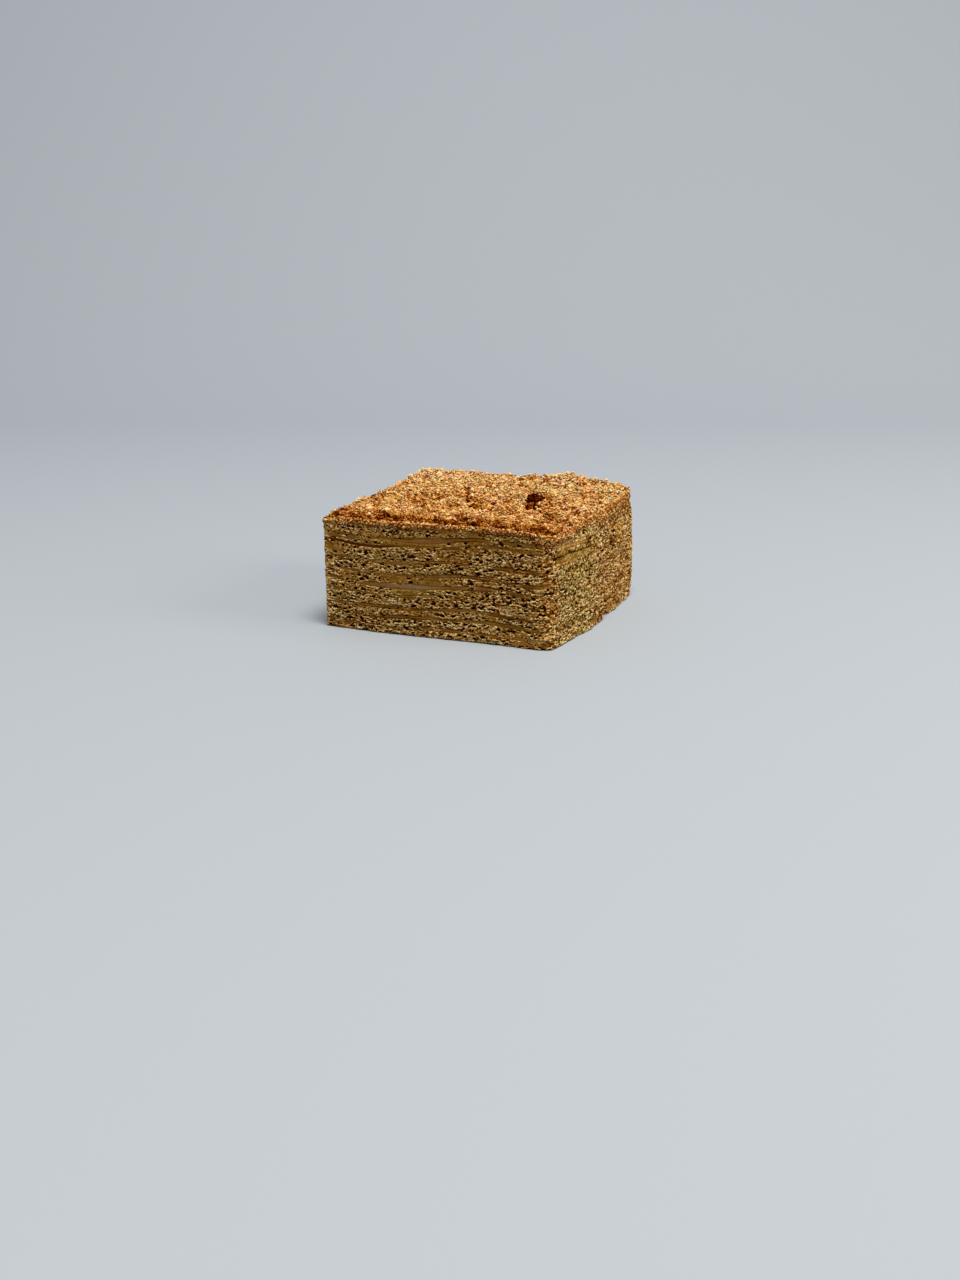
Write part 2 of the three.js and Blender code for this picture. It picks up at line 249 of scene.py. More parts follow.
def ease(value, low, high):
    """Rises smoothly from 0 to 1 as value goes from low to high."""
    t = np.clip((value - low) / (high - low), 0, 1)
    return t * t * (3 - 2 * t)


def bell(distance, reach):
    """One at no distance, falling off smoothly with reach."""
    return np.exp(-((distance / reach) ** 2))


def back_rise(x, y):
    """The back of the portion stands higher in its middle than at its sides."""
    return BACK_RISE * ease(y, -10, HALF_SIDE) * (1 - 0.75 * np.minimum(1, np.abs(x / 52)) ** 5)


def lens(layer, x, y):
    """How far a place is in the lens of one cream, from 0 to 1, with its extra thickness and its sag."""
    place, reach, extra, sag = LENSES.get(layer, (0, 1, 0, 0))
    return bell(np.hypot(x - place, y + HALF_SIDE), reach), extra, sag


def cream_middle(layer, x, y):
    """Height of the middle of one layer of cream."""
    below = sum(CAKE_THICKNESS[: layer + 1]) + sum(CREAM_THICKNESS[:layer])
    nominal = below + CREAM_THICKNESS[layer] / 2
    freedom = 0.35 if layer == LAYERS - 1 else min(1, 0.35 + nominal / 20)
    shared = STACK_WAVE * np.sin(TAU * ((x + 5) / STACK_WAVE_LENGTH + (y + HALF_SIDE) / 130))
    own = LAYER_WAVE * np.sin(TAU * ((x + 0.6 * y) / LAYER_WAVE_LENGTH) + 2.1 * layer)
    lift = 0
    if layer in LIFTED_CREAMS:
        lift = CORNER_LIFT * ease(x, 0, CORNER_LIFT_END) * bell(y + HALF_SIDE, CORNER_LIFT_REACH)
    in_lens, _, sag = lens(layer, x, y)
    rise = BACK_RISE_IN_STACK * back_rise(x, y) * nominal / STACK_HEIGHT
    return nominal + freedom * (shared + own) + rise + lift - sag * in_lens


def cream_thickness(layer, x, y):
    """Thickness of one layer of cream."""
    wave = CREAM_WAVE * np.sin(TAU * ((x + 0.7 * y) / CREAM_WAVE_LENGTH) + 2.4 * layer)
    in_lens, extra, _ = lens(layer, x, y)
    return np.maximum(CREAM_THICKNESS[layer] * (1 + wave) + extra * in_lens, THINNEST_CREAM)


def level_height(level, x, y):
    """Height of the surface between two layers: level 0 is the base, 1 the top of the first baked layer."""
    if level == 0:
        return np.zeros_like(x)
    layer = (level - 1) // 2
    middle = cream_middle(layer, x, y)
    half = cream_thickness(layer, x, y) / 2
    if level % 2 == 0:
        return middle + half
    return np.maximum(middle - half, level_height(level - 1, x, y) + THINNEST_CAKE)


def cut_outline(steps_a_side):
    """Points round the plain cut rectangle with its rounded corners: x, y and the way out of the cake."""
    points = []
    for side, steps in enumerate(steps_a_side):
        first, last = CORNER_RADII[side], CORNER_RADII[(side + 1) % 4]
        length = (FRONT_LENGTH, SIDE_DEPTH)[side % 2]
        first_arc, last_arc = first * math.pi / 4, last * math.pi / 4
        straight = length - first - last
        distance = np.arange(steps) / steps * (first_arc + straight + last_arc)
        on_first = distance < first_arc
        on_last = distance > first_arc + straight
        bend = np.where(on_first, distance / first - math.pi / 4, 0)
        bend = np.where(on_last, (distance - first_arc - straight) / last, bend)
        run = first + distance - first_arc
        run = np.where(on_first, first * (1 + np.sin(bend)), run)
        run = np.where(on_last, length - last * (1 - np.sin(bend)), run)
        inset = np.where(on_first, first, last) * (1 - np.cos(bend))
        along = np.array(((1, 0), (0, 1), (-1, 0), (0, -1))[side])
        outward = np.array([along[1], -along[0]])
        corner_x = -HALF_FRONT if side in (0, 3) else HALF_FRONT
        corner_y = -HALF_SIDE if side < 2 else HALF_SIDE
        place = (corner_x, corner_y) + run[:, None] * along - inset[:, None] * outward
        facing = np.cos(bend)[:, None] * outward + np.sin(bend)[:, None] * along
        points.append(np.column_stack([place, facing]))
    return np.concatenate(points)


def cut_spread(cut, height):
    """How far the cut stands out of the plain rectangle at one place and height."""
    x, y, out_x, out_y = cut.T
    share = np.clip(height / STACK_HEIGHT, 0, 1)
    wear = RIGHT_CORNER_WEAR * bell(height, 4) * ease(y, 34, 46)
    chip = CHIP_DEPTH * bell(y - CHIP_Y, CHIP_WIDTH) * bell(height, CHIP_HEIGHT)
    right = (RIGHT_SPREAD + RIGHT_SWELL * (1 - share**4)) * ease(y, -47, -5) - wear - chip
    front = FRONT_WAVE * (0.6 + 0.4 * (1 - share)) * np.sin(TAU * (x + HALF_FRONT) / 105)
    rear = BACK_WAVE * np.sin(TAU * x / 70 + 2)
    left = LEFT_WAVE * np.sin(TAU * y / 60 + 1)
    return (
        np.maximum(out_x, 0) * right
        + np.maximum(-out_x, 0) * left
        + np.maximum(-out_y, 0) * front
        + np.maximum(out_y, 0) * rear
    )


def on_cut(cut, out, height):
    """Places on the cut side, moved out of the cake by a distance, in millimetres."""
    far = cut_spread(cut, height) + out
    return np.column_stack([cut[:, 0] + cut[:, 2] * far, cut[:, 1] + cut[:, 3] * far, height])


def to_frame(places):
    """From the cake's own millimetres to metres in the frame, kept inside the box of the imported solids."""
    return np.clip((places + np.array([PLAN_X, PLAN_Y, 0])) * MM, cad_box[0], cad_box[1])


def cell_random(cells, seed):
    """A repeatable number from 0 to 1 for each whole-number cell."""
    mixed = cells.astype(np.int64) @ np.array([73856093, 19349663, 83492791]) + seed * 2654435761
    mixed = (mixed ^ (mixed >> 15)) * 2246822519 & 0xFFFFFFFF
    mixed = (mixed ^ (mixed >> 13)) * 3266489917 & 0xFFFFFFFF
    return ((mixed ^ (mixed >> 16)) & 0xFFFFFF) / 0x1000000


def soft_noise(places, size, seed):
    """Smooth noise from -1 to 1. Size is how far apart its ups and downs are, one number or one an axis."""
    scaled = places / np.asarray(size, float)
    base = np.floor(scaled)
    part = scaled - base
    part = part * part * (3 - 2 * part)
    total = np.zeros(len(places))
    for corner in np.ndindex(2, 2, 2):
        weight = np.prod(np.where(corner, part, 1 - part), axis=1)
        total += weight * cell_random(base + corner, seed)
    return 2 * total - 1


def scattered_balls(places, size, reaches, share, seed):
    """How deep inside a ball each place is, from 0 to 1. One ball sits in each of a share of the cells."""
    scaled = places / np.asarray(size, float)
    base = np.floor(scaled)
    deepest = np.zeros(len(places))
    for corner in np.ndindex(3, 3, 3):
        cell = base + corner - 1
        centre = cell + np.column_stack([cell_random(cell, seed + axis) for axis in range(3)])
        reach = reaches[0] + (reaches[1] - reaches[0]) * cell_random(cell, seed + 3)
        away = np.linalg.norm(scaled - centre, axis=1) / reach
        filled = cell_random(cell, seed + 4) < share
        deepest = np.maximum(deepest, np.clip(1 - away * away, 0, 1) * filled)
    return deepest


def pore_depth(places, opened):
    """Pores of two sizes, wider than high, because the layers rose a little and were pressed flat."""
    large = ease(scattered_balls(places, LARGE_PORES, (0.26, 0.55), 0.75 * opened, 7), 0, 0.35)
    small = ease(scattered_balls(places, SMALL_PORES, (0.25, 0.5), 0.75 * opened, 19), 0, 0.5)
    return np.maximum(large, 0.85 * small)


def torn_face(flat, opened, granular):
    """How far a cut face stands out and its relief for the colour, both round zero.

    An open face has dark pores, painted as shade, each with a lit lip under it that is painted pale as a
    highlight, and thin torn ridges between them, also painted paler as highlights. A granular face is
    covered in the grains that the knife dragged along, painted paler on top and darker between them as
    shade.
    """
    warp = np.column_stack([soft_noise(flat, 0.9, 40 + axis) for axis in range(3)])
    bent = flat + warp * (0.5, 0.5, 0.28)
    pores = pore_depth(bent, opened)
    lips = np.clip(pore_depth(bent + (0, 0, 0.42), opened) - pores, 0, 1)
    ridges = 1 - ease(np.abs(soft_noise(bent, (1.5, 1.5, 0.9), 23)), 0, 0.22)
    tears = soft_noise(bent, (1.1, 1.1, 0.5), 29)
    grains = scattered_balls(flat + 0.45 * warp, GRAINS, (0.5, 0.9), 0.95, 47)
    grains = 0.75 * grains + 0.35 * soft_noise(flat, (0.8, 0.8, 0.6), 53) - 0.42
    torn = opened * (0.6 * ridges + 0.3 * tears + 0.1)
    # The relief for the colour is painted light: shade in pores and between grains, highlight on lips and
    # ridges.
    relief = 0.6 * lips - 1.2 * pores + torn + 0.9 * granular * grains
    out = 0.22 * lips - 0.7 * pores + opened * (0.2 * ridges + 0.05) + 0.7 * granular * grains
    return out, relief


def paint(made, key, numbers):
    """Gives each point of a mesh a number that its material reads."""
    shade = made.data.attributes.new(key, "FLOAT", "POINT")
    shade.data.foreach_set("value", np.asarray(numbers, np.float32))


def close_ring(start, count, hub, upwards):
    """Triangles that shut one end of a wall with a fan round the hub."""
    ring = start + np.arange(count)
    following = start + (np.arange(count) + 1) % count
    middle = np.full(count, hub)
    return np.stack([ring, following, middle] if upwards else [following, ring, middle]).T


def cut_slab(name, rings, values, material):
    """A closed slab from rings of places that go up its cut side, with a number a place for each value."""
    rows, count = len(rings), len(rings[0])
    places = np.concatenate([np.concatenate(rings), [rings[0].mean(0), rings[-1].mean(0)]])
    row, column = np.meshgrid(np.arange(rows - 1), np.arange(count), indexing="ij")
    here = (row * count + column).ravel()
    beside = (row * count + (column + 1) % count).ravel()
    walls = np.concatenate(
        [np.stack([here, beside, beside + count]).T, np.stack([here, beside + count, here + count]).T]
    )
    under = close_ring(0, count, rows * count, False)
    over = close_ring((rows - 1) * count, count, rows * count + 1, True)
    made = mesh_object(name, to_frame(places), np.concatenate([walls, under, over]), True, material)
    for key, rows_of_values in values.items():
        paint(made, key, np.append(np.concatenate(rows_of_values), [0, 0]))
    return made


def crumb_colour(material):
    """The colour of the cut: painted shade in pores, olive brown where soaked, painted highlight on ridges
    and lips.
    """
    where = add_node(material, "ShaderNodeTexCoord", {})
    relief = add_node(material, "ShaderNodeAttribute", {}, attribute_name="relief")
    openness = add_node(material, "ShaderNodeAttribute", {}, attribute_name="openness")
    gold = add_node(material, "ShaderNodeAttribute", {}, attribute_name="gold")
    squeezed = add_node(
        material, "ShaderNodeMapping", {"Vector": where.outputs["Object"], "Scale": (1.1, 1.3, 2.3)}
    )
    grain = add_node(
        material,
        "ShaderNodeTexNoise",
        {
            "Vector": squeezed.outputs["Vector"],
            "Scale": 1 / (GRAIN_SIZE * MM),
            "Detail": 2.5,
            "Roughness": 0.6,
            "Distortion": 0.8,
        },
    )
    centred = add_node(material, "ShaderNodeMath", {0: grain.outputs["Fac"], 1: 0.5}, operation="SUBTRACT")
    strength = add_node(
        material,
        "ShaderNodeMath",
        {0: openness.outputs["Fac"], 1: GRAIN_CONTRAST, 2: 0.3},
        operation="MULTIPLY_ADD",
    )
    level = add_node(
        material,
        "ShaderNodeMath",
        {0: centred.outputs[0], 1: strength.outputs[0], 2: relief.outputs["Fac"]},
        operation="MULTIPLY_ADD",
    )
    # The low stops hold the painted shade of pores and the high stops the painted highlights of lips and
    # ridges.
    torn = add_ramp(
        material,
        level.outputs[0],
        (
            (0.0, "#2e0900"),
            (0.2, "#562500"),
            (0.4, "#805518"),
            (0.55, "#9f7539"),
            (0.78, "#d4aa6f"),
            (1.0, "#f9e0b2"),
        ),
    )
    hue = add_ramp(
        material,
        gold.outputs["Fac"],
        ((0.0, "#ffe2d2"), (0.25, "#fff0c8"), (0.5, "#f7efda"), (1.0, "#eefbe2")),
    )
    tinted = add_node(
        material,
        "ShaderNodeMix",
        {"Factor": 1.0, "A": torn, "B": hue},
        data_type="RGBA",
        blend_type="MULTIPLY",
    )
    return tinted.outputs["Result"], level.outputs[0]


# Soft baked honey dough: matt and open and tan, painted pale on the torn walls of its pores as highlight and
# dark inside them as painted shade, and a closed olive brown where cream has soaked in.
honey_sponge, shader = new_material("honey_sponge_knife_cut")
colour, level = crumb_colour(honey_sponge)
honey_sponge.node_tree.links.new(colour, shader.inputs["Base Color"])
bump = add_node(
    honey_sponge, "ShaderNodeBump", {"Height": level, "Distance": GRAIN_DEPTH * MM, "Strength": 0.8}
)
honey_sponge.node_tree.links.new(bump.outputs["Normal"], shader.inputs["Normal"])
shader.inputs["Roughness"].default_value = 1.0
shader.inputs["Specular IOR Level"].default_value = 0.0

# How open the torn crumb of the front is, and where it is pressed shut: the layer from 1 at the base,
# the place along the front, how far that reaches, and the change.
OPEN_ON_FRONT = 0.87
SHUT_ON_FRONT = (
    (1, 44, 18, -0.5),
    (2, 50, 10, -0.3),
    (3, -10, 9, -0.3),
    (3, 30, 9, -0.45),
    (5, -8, 13, -0.65),
    (6, -8, 26, -0.6),
    (7, -10, 9, -0.4),
    (8, -50, 10, -0.5),
    (8, 2, 14, -0.3),
    (9, 0, 70, -0.5),
    (9, -10, 14, -0.25),
    (10, 6, 24, -0.6),
)
# Where soaked cream turns the crumb yellower, or baking left it more orange, set down in the same way.
YELLOW_ON_FRONT = (
    (5, 0, 18, 0.3),
    (6, -14, 30, 0.2),
    (9, -50, 20, 0.2),
    (10, 50, 16, -0.35),
)


def along_front(flat, marks, layer, otherwise):
    """What holds for most of the front, changed round the places that are marked in one layer."""
    made = otherwise + 0 * flat[:, 0]
    for marked, place, reach, change in marks:
        if marked == layer + 1:
            made = made + change * bell(flat[:, 0] - place, reach)
    return np.clip(made, 0, 1)


cut_at = cut_outline(CUT_STEPS)
to_front = np.maximum(-cut_at[:, 3], 0) ** 2
to_right = np.maximum(cut_at[:, 2], 0) ** 2
corner_gap = np.maximum(HALF_FRONT - np.abs(cut_at[:, 0]), 0)
on_corner = np.clip(4 * (cut_at[:, 2] * cut_at[:, 3]) ** 2, 0, 1)
near_corner = 0.5 * np.maximum(on_corner, bell(corner_gap, 1.6) * to_front)
toe = on_corner * (cut_at[:, 2] > 0) * (cut_at[:, 3] < 0)
SMEAR_HEIGHTS, SMEAR_REACH = (39.7, 34.8), 2.2
CRACK_HEIGHT, CRACK_REACH = 37.3, 0.35


def smear(height):
    """Two bands on the right side, beside the front corner, where the knife smoothed the crumb."""
    y = cut_at[:, 1]
    bands = np.maximum.reduce([bell(height - middle, SMEAR_REACH) for middle in SMEAR_HEIGHTS])
    return 0.75 * bands * ease(y, -46, -42) * (1 - ease(y, -20, -12)) * to_right


def painted_crack_shadow(height):
    """Painted shadow: a dark line between the two smooth bands, where one layer parts from the next."""
    y = cut_at[:, 1]
    line = CRACK_HEIGHT - 1.2 * ease(y, -38, -14)
    return bell(height - line, CRACK_REACH) * ease(y, -47, -44) * (1 - ease(y, -18, -8)) * to_right


def paler_sides_and_painted_highlights(flat):
    """Paler cut: the right side but its front end, and painted highlights on the left end strip and the
    corners.
    """
    from_front = flat[:, 1] + HALF_SIDE
    right = 0.12 * ease(from_front, 0, 11) - 0.05 * ease(from_front, 29, 59)
    right = right + 0.15 * soft_noise(flat, (5, 5, 2.4), 71)
    # Painted highlights: a narrow strip on the rounded left end of the front, and the rounded corners.
    left_end = 0.2 * bell(flat[:, 0] + HALF_FRONT, 1.6) * to_front
    return right * to_right + left_end + 0.12 * near_corner


def gold_of(flat, base, smeared):
    """How yellow the crumb is. The right side goes from yellow in front to orange further back."""
    from_front = flat[:, 1] + HALF_SIDE
    side = 0.5 + 0.4 * ease(from_front, 3, 14) - 0.5 * ease(from_front, 24, 59)
    gold = base * (1 - to_right) + (side + (0.6 - side) * smeared) * to_right
    gold = gold + 0.3 * soft_noise(flat, (9, 9, 3), 91)
    return np.clip(gold + (0.4 - gold) * near_corner, 0, 1)


def granular_face(height):
    """Where the knife dragged grains over the cut: the right side and the corners, but not the smears."""
    return np.clip(to_right * 1.3 + 0.7 * near_corner, 0, 1) * (1 - 0.95 * smear(height))


def joint_shadow_stretches(flat):
    """The stretches along the cut where two layers meet and are painted dark as shade, from 0 to 1."""
    return ease(soft_noise(flat, (14, 14, 6), 63), -0.2, 0.3)


def shade_row(values, flat, height, relief, painted_joint_shade, opened, yellow):
    """Adds the numbers that the material reads along one row of the cut."""
    smeared = smear(height)
    streaks = 0.07 * soft_noise(flat, (7, 7, 0.45), 67) * (1 + to_right)
    streaks = streaks + 0.05 * soft_noise(flat, (3, 3, 0.9), 68)
    # Painted highlights at the left end and corners, a painted shadow line between two bands, and paler
    # smears.
    lighter = paler_sides_and_painted_highlights(flat) + 0.04 * smeared - 0.5 * painted_crack_shadow(height)
    rough = 0.55 + 0.35 * soft_noise(flat, (6, 6, 2.2), 73)
    # Relief carries the painted shade and highlights of the torn face, and the painted shade of the joints.
    values["relief"].append(0.44 + 0.65 * relief - painted_joint_shade + lighter + streaks)
    values["openness"].append(np.clip(opened + rough * granular_face(height), 0, 1))
    values["gold"].append(gold_of(flat, yellow, smeared))


for layer in range(LAYERS):
    low = level_height(2 * layer, cut_at[:, 0], cut_at[:, 1])
    high = level_height(2 * layer + 1, cut_at[:, 0], cut_at[:, 1])
    rows = round((high - low).mean() / ROW_STEP) + 1
    rings = []
    values = {"relief": [], "openness": [], "gold": []}
    for row in range(rows):
        share = row / (rows - 1)
        height = low + (high - low) * share
        edge = np.minimum(share, 1 - share) * (high - low)
        if layer == 0 and share < 0.5:
            edge = edge + 0.8
        flat = on_cut(cut_at, 0, height)
        patch = np.clip(0.65 + 0.55 * soft_noise(flat, (11, 11, 4), 60 + layer), 0, 1)
        opened = patch * (1 - to_front) + along_front(flat, SHUT_ON_FRONT, layer, OPEN_ON_FRONT) * to_front
        opened = np.clip(opened + 0.5 * soft_noise(flat, (6, 6, 1.8), 61), 0.08, 1)
        soaked = 0.8 * np.clip(soft_noise(flat, (9, 9, 3), 62), 0, 1)
        margin = ease(edge, soaked - 0.1, soaked + 0.35)
        granular = granular_face(height)
        opened = opened * margin * (1 - 0.3 * granular) * (1 - smear(height)) * (1 - 0.6 * near_corner)
        out, relief = torn_face(flat, opened, granular * (0.5 + 0.5 * margin))
        out = out + 0.16 * soft_noise(flat, (6, 6, 3), 31) - CREAM_RECESS * (1 - ease(edge, 0, 0.3))
        foot = 1 - ease(height, 0.5, 4)
        out = out + 0.45 * foot * soft_noise(flat, (2.4, 2.4, 2), 37) + 1.0 * toe * bell(height - 3, 4)
        out = out + (0.3 + 0.5 * foot) * to_right * soft_noise(flat, (5, 5, 4), 38)
        if layer == 0:
            out = out - BASE_BEVEL * (1 - ease(height, 0, BASE_BEVEL_HEIGHT))
        rings.append(on_cut(cut_at, out, height))
        # Painted shade along the joints at the top and bottom of the layer, in stretches.
        painted_joint_shade = 0.3 * bell(edge, 0.2) * joint_shadow_stretches(flat) * (1 + 0.5 * to_right)
        yellow = along_front(flat, YELLOW_ON_FRONT, layer, 0.46 + 0.14 * bell(flat[:, 0], 28))
        shade_row(values, flat, height, relief, painted_joint_shade, opened, yellow)
    slab = cut_slab(f"baked_layer_{layer + 1:02d}", rings, values, honey_sponge)
    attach(slab, "root")
    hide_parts(f"cake_layer_{layer + 1:02d}")


# ======================================================================================================
# Cream
# Boiled-milk caramel cream, spread about a millimetre thick and soaked into the layers beside it. The knife
# smeared crumb along the cut, so a band of cream shows clean and smooth only in places, a little sunk.
# ======================================================================================================
# Set caramel cream: dense and smooth with a soft low sheen. It is as brown as the soaked crumb where it is
# thin, and greyer where it is thick. Torn crumb covers most of its cut edge.
caramel_cream, shader = new_material("caramel_cream_spread")
thick = add_node(caramel_cream, "ShaderNodeAttribute", {}, attribute_name="thick")
colour, level = crumb_colour(caramel_cream)
pale = add_node(
    caramel_cream,
    "ShaderNodeMix",
    {"Factor": thick.outputs["Fac"], "A": colour, "B": srgb("#8f6e4a")},
    data_type="RGBA",
)
caramel_cream.node_tree.links.new(pale.outputs["Result"], shader.inputs["Base Color"])
bump = add_node(
    caramel_cream, "ShaderNodeBump", {"Height": level, "Distance": GRAIN_DEPTH * MM, "Strength": 0.6}
)
caramel_cream.node_tree.links.new(bump.outputs["Normal"], shader.inputs["Normal"])
shader.inputs["Roughness"].default_value = 0.6
shader.inputs["Specular IOR Level"].default_value = 0.08

CREAM_ROWS = 5
CREAM_LAP = 0.06
# One cream, from 0 at the base, has parted from its layer at the left end of the front, and the opening is
# painted as a dark shadow. The lens in another is as brown as the crumb.
PARTED_CREAM = 7
BROWN_LENS = 8
# Torn crumb covers part of each band of cream, most at the left end. Where a band is covered more or less
# than that: the cream from 1 at the base, the place along the front, how far it reaches, and the change.
COVERED_ON_FRONT = (
    (1, -20, 22, 0.2),
    (2, -25, 18, 0.15),
    (3, 50, 12, 0.25),
    (4, 28, 28, 0.6),
    (5, 45, 22, 0.3),
    (5, 0, 14, -0.15),
    (6, 50, 10, 0.25),
    (7, 42, 20, 0.3),
    (8, -50, 28, -0.35),
    (9, 0, 16, -0.15),
    (10, -35, 14, 0.15),
)

for layer in range(LAYERS):
    low = level_height(2 * layer + 1, cut_at[:, 0], cut_at[:, 1]) - CREAM_LAP
    high = level_height(2 * layer + 2, cut_at[:, 0], cut_at[:, 1]) + CREAM_LAP
    rings = []
    values = {"relief": [], "openness": [], "gold": [], "thick": []}
    for row in range(CREAM_ROWS):
        share = row / (CREAM_ROWS - 1)
        height = low + (high - low) * share
        flat = on_cut(cut_at, 0, height)
        patch = ease(soft_noise(flat, (10, 10, 3), 101 + layer), -0.4, 0.5)
        left_end = 0.25 + 0.25 * bell(flat[:, 0] + HALF_FRONT, 22)
        cover = patch * (1 - to_front) + along_front(flat, COVERED_ON_FRONT, layer, left_end) * to_front
        cover = ease(cover + 0.45 * soft_noise(flat, (4, 4, 2), 103), 0.2, 0.8)
        granular = granular_face(height)
        opened = cover * (1 - 0.3 * granular) * (1 - smear(height))
        out, relief = torn_face(flat, opened, granular)
        bow = math.sin(math.pi * share)
        out = out - CREAM_RECESS * (1 - 0.7 * np.maximum(cover, granular)) + 0.1 * bow
        out = out + 0.05 * soft_noise(flat, (2.5, 2.5, 0.5), 131)
        rings.append(on_cut(cut_at, out, height))
        # Painted shade along the joints at the edges of the cream, and a darker painted shadow where one has
        # parted.
        painted_joint_shade = 0.22 * (1 - bow) * joint_shadow_stretches(flat)
        if layer == PARTED_CREAM:
            painted_joint_shade = painted_joint_shade + 0.4 * bell(share - 0.5, 0.3) * (1 - ease(flat[:, 0], -22, -12)) * to_front
        shade_row(values, flat, height, relief, painted_joint_shade, opened, 0.5)
        clean = np.clip(1.15 - np.maximum(cover, granular), 0, 1) * ease(high - low, 1.2, 2.3)
        clean = clean * bell(flat[:, 0] + 5, 20) * (0.15 if layer == BROWN_LENS else 1)
        values["thick"].append(clean * ease(bow, -0.3, 0.3))
    is_coat = layer == LAYERS - 1
    name = "cream_coat" if is_coat else f"cream_spread_{layer + 1:02d}"
    spread = cut_slab(name, rings, values, caramel_cream)
    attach(spread, "root")
    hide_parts("cream_top" if is_coat else f"cream_layer_{layer + 1:02d}")


# ======================================================================================================
# Crumb bed
# The trimmings of the baked layers, dried, ground and toasted, pressed by hand onto the coat of cream. The
# bed is one relief of packed crumbs that rounds over at the edges and hangs unevenly over the cut sides.
# ======================================================================================================
TOPPING_THICKNESS = 1.9
MOUND_X, MOUND_Y, MOUND_RISE, MOUND_REACH = 27, 43, 3.0, 9
RASTER = 0.18
RASTER_REACH = 58
PACKED_CRUMBS = 18000
PACKED_RADII = (0.35, 0.75)
# How far the relief lies below the crumb surface, how much its crumbs stand up, and how far it draws in.
BED_SINK = 0.85
PACKED_RISE = 1.1
RIM_INSET = 0.4
HANGING_LUMP = 1.3


def topping_height(x, y):
    """Height of the middle of the crumb surface."""
    mound = MOUND_RISE * bell(np.hypot(x - MOUND_X, y - MOUND_Y), MOUND_REACH)
    rise = (1 - BACK_RISE_IN_STACK) * back_rise(x, y)
    return level_height(2 * LAYERS, x, y) + TOPPING_THICKNESS + rise + mound


def packed_crumbs(count, radii, seed):
    """A square raster of how high packed crumbs stand, and one of a number from 0 to 1 for each crumb."""
    draw = np.random.default_rng(seed)
    cells = int(2 * RASTER_REACH / RASTER)
    stand = np.zeros((cells, cells), np.float32)
    tint = np.full((cells, cells), 0.3, np.float32)
    for _ in range(count):
        radius = draw.uniform(*radii)
        centre = draw.uniform(1.5 * radius, 2 * RASTER_REACH - 1.5 * radius, 2)
        sunk = draw.uniform(-0.25, 0.35) * radius
        own_tint, phase, lobes = draw.uniform(), draw.uniform(0, TAU), draw.integers(2, 5)
        low = ((centre - 1.3 * radius) / RASTER).astype(int)
        high = ((centre + 1.3 * radius) / RASTER).astype(int) + 1
        along = (np.arange(low[0], high[0]) + 0.5) * RASTER - centre[0]
        across = (np.arange(low[1], high[1]) + 0.5) * RASTER - centre[1]
        away = np.hypot(along[:, None], across[None, :])
        angle = np.arctan2(across[None, :], along[:, None])
        reach = radius * (1 + 0.22 * np.sin(lobes * angle + phase))
        dome = np.sqrt(np.clip(1 - (away / reach) ** 2, 0, 1)) * radius - sunk
        window = (slice(low[0], high[0]), slice(low[1], high[1]))
        higher = (dome > stand[window]) & (away < reach)
        stand[window] = np.where(higher, dome, stand[window])
        tint[window] = np.where(higher, own_tint, tint[window])
    return stand, tint


def read_raster(raster, x, y):
    """The raster's value at places of the plan."""
    column = np.clip((x + RASTER_REACH) / RASTER - 0.5, 0, raster.shape[0] - 2)
    row = np.clip((y + RASTER_REACH) / RASTER - 0.5, 0, raster.shape[1] - 2)
    i, j = column.astype(int), row.astype(int)
    u, v = column - i, row - j
    near = raster[i, j] * (1 - u) + raster[i + 1, j] * u
    far = raster[i, j + 1] * (1 - u) + raster[i + 1, j + 1] * u
    return near * (1 - v) + far * v


crumb_stand, crumb_tint = packed_crumbs(PACKED_CRUMBS, PACKED_RADII, 5)
BED_COLUMNS, BED_ROWS = 230, 224
WALL_ROWS = 7
bed_at = cut_outline((BED_COLUMNS, BED_ROWS, BED_COLUMNS, BED_ROWS))


def edge_gap(x, y):
    """How far inside the nearest cut side a place of the plan lies."""
    right = HALF_FRONT + RIGHT_SPREAD * ease(y, -47, -5) - x
    return np.minimum.reduce([HALF_FRONT + x, right, HALF_SIDE + y, HALF_SIDE - y])


def corner_drop(x, y):
    """The crumbs have slipped off the front corners, so the bed sinks there."""
    left = bell(np.hypot(x + HALF_FRONT, y + HALF_SIDE), 5)
    right = bell(np.hypot(x - HALF_FRONT, y + HALF_SIDE), 8)
    rear = bell(np.hypot(x - HALF_FRONT - RIGHT_SPREAD, y - HALF_SIDE), 6)
    return 1.8 * left + 1.0 * right + 0.4 * rear


def edge_inset(x, y):
    """How far the crumbs draw back from the cut sides at the left front and the right rear corner."""
    left = bell(np.hypot(x + HALF_FRONT, y + HALF_SIDE), 7)
    return 1.7 * left + 0.6 * bell(np.hypot(x - HALF_FRONT - RIGHT_SPREAD, y - HALF_SIDE), 6)


def crumb_patches(x, y, coarse, fine):
    """Uneven patches of the top in two sizes, with how much each counts."""
    flat = np.column_stack([x, y, np.zeros_like(x)])
    return coarse * soft_noise(flat, 6, 173) + fine * soft_noise(flat, 2.6, 174)


def bed_surface(x, y):
    """Height of the relief, packed crumbs and rounded edges included."""
    rounded = 0.8 * (1 - ease(edge_gap(x, y), -1, 4)) - 0.8 * bell(x + HALF_FRONT, 5) + corner_drop(x, y)
    clumps = crumb_patches(x, y, 0.4, 0.6)
    clumps = clumps + 1.2 * bell(HALF_SIDE - y, 6) * (1 - bell(x - MOUND_X, MOUND_REACH))
    return topping_height(x, y) - BED_SINK - rounded + clumps + PACKED_RISE * read_raster(crumb_stand, x, y)


def painted_light_on_top(x, y):
    """Painted light on the crumbs: paler towards the back and a little to the left, with painted shade along
    the front rim.
    """
    return 0.4 * ease(y, -5, 40) + 0.05 * ease(-x, 10, 40) - 0.57 * (1 - ease(y + HALF_SIDE, 4, 19))


